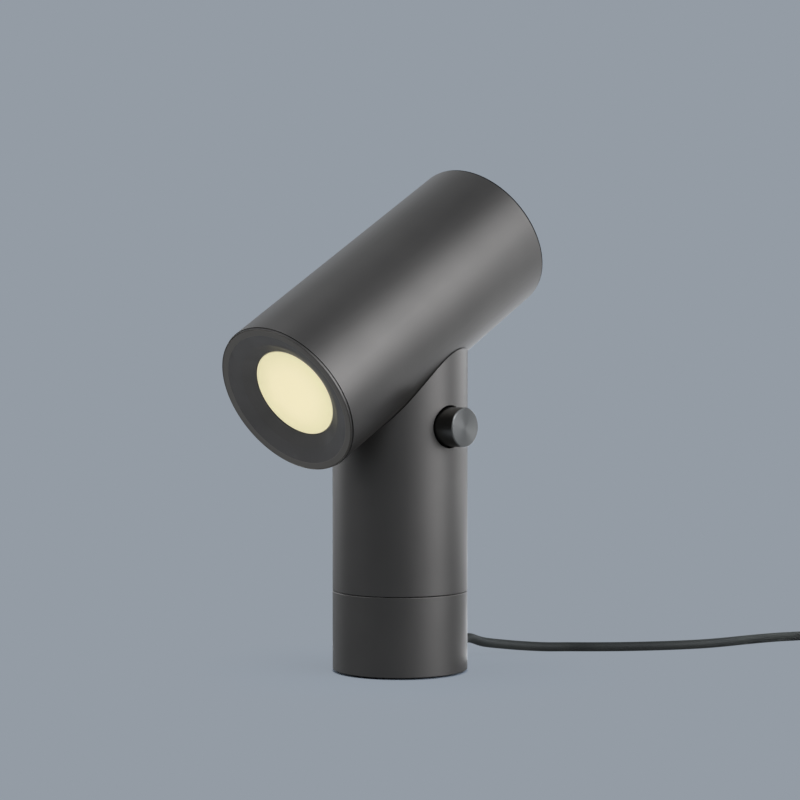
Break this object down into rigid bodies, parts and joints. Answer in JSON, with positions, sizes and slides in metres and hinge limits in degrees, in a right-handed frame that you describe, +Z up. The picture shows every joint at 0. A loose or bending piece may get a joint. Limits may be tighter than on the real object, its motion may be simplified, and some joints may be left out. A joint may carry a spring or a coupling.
{
  "type": "table lamp",
  "caption": "Table lamp: a tilted tube head lies in the notched top of a tube stem that swivels on a weighted round base, with a dimmer knob on the stem's side and a corded plug.",
  "frame": {"origin": "centre of the foot pad's underside, on the stem's axis", "axes": "+Z up along the stem; the head looks towards -Y and dips; the dimmer knob is on the +X side; the cord leaves the base towards +Y"},
  "size_m": [0.2317, 0.418, 0.2789],
  "materials": {
    "tube_metal": "satin black anodised",
    "baffle_metal": "matte dark grey",
    "knob_metal": "dark, turned face",
    "opal": "warm opal",
    "reflector_white": "matte white",
    "led_phosphor": "satin",
    "bare_aluminium": "machined",
    "zinc_steel": "zinc plated",
    "pin_metal": "nickel plated",
    "weight_iron": "as cast",
    "circuit_board": "solder resist",
    "transformer_core": "matte",
    "shaft_brass": "turned",
    "white_nylon": "matte",
    "lead_sleeve": "satin",
    "black_plastic": "matte",
    "black_rubber": "matte",
    "cord_black": "satin"
  },
  "bodies": {
    "base": {"base_sleeve": "tube_metal", "top_plate": "bare_aluminium", "glide_ring": "white_nylon", "counterweight": "weight_iron", "bottom_plate": "zinc_steel", "foot_pad": "black_rubber", "base_screw_1": "zinc_steel", "base_screw_2": "zinc_steel", "base_screw_3": "zinc_steel", "strain_relief": "black_rubber", "cord_anchor": "white_nylon", "mains_lead": "black_plastic", "cord": "cord_black", "cord_coil": "cord_black", "cord_tie": "black_plastic", "plug_body": "black_plastic", "plug_pin_left": "pin_metal", "plug_pin_right": "pin_metal"},
    "stem": {"head_tube": "tube_metal", "head_cap": "tube_metal", "stem_tube": "tube_metal", "baffle": "baffle_metal", "diffuser": "opal", "reflector_cup": "reflector_white", "led_board": "reflector_white", "led_chip": "led_phosphor", "heat_sink": "bare_aluminium", "stem_ring": "bare_aluminium", "saddle_bracket": "bare_aluminium", "spindle": "zinc_steel", "thrust_washer": "zinc_steel", "wave_washer": "zinc_steel", "spindle_nut": "zinc_steel", "stop_pin": "zinc_steel", "tie_screw_front": "zinc_steel", "tie_screw_back": "zinc_steel", "head_screw_front": "zinc_steel", "head_screw_back": "zinc_steel", "chassis": "zinc_steel", "chassis_screw_left": "zinc_steel", "chassis_screw_right": "zinc_steel", "dimmer_body": "zinc_steel", "cap_stud": "zinc_steel", "sink_screw_1": "zinc_steel", "sink_screw_2": "zinc_steel", "sink_screw_3": "zinc_steel", "driver_board": "circuit_board", "transformer": "transformer_core", "dimmer_nut": "shaft_brass", "terminal_block": "white_nylon", "led_lead": "lead_sleeve", "dimmer_lead": "lead_sleeve", "capacitor": "black_plastic"},
    "knob": {"dimmer_knob": "knob_metal", "dimmer_shaft": "shaft_brass"}
  },
  "joints": [
    {"name": "stem_swivel", "type": "hinge", "parent": "base", "child": "stem", "pos_m": [0, 0, 0.045], "axis": [0, 0, 1], "range_deg": [-150, 150]},
    {"name": "knob_turn", "type": "hinge", "parent": "stem", "child": "knob", "pos_m": [0.0483, 0, 0.1372], "axis": [1, 0, 0], "range_deg": [0, 300]}
  ]
}
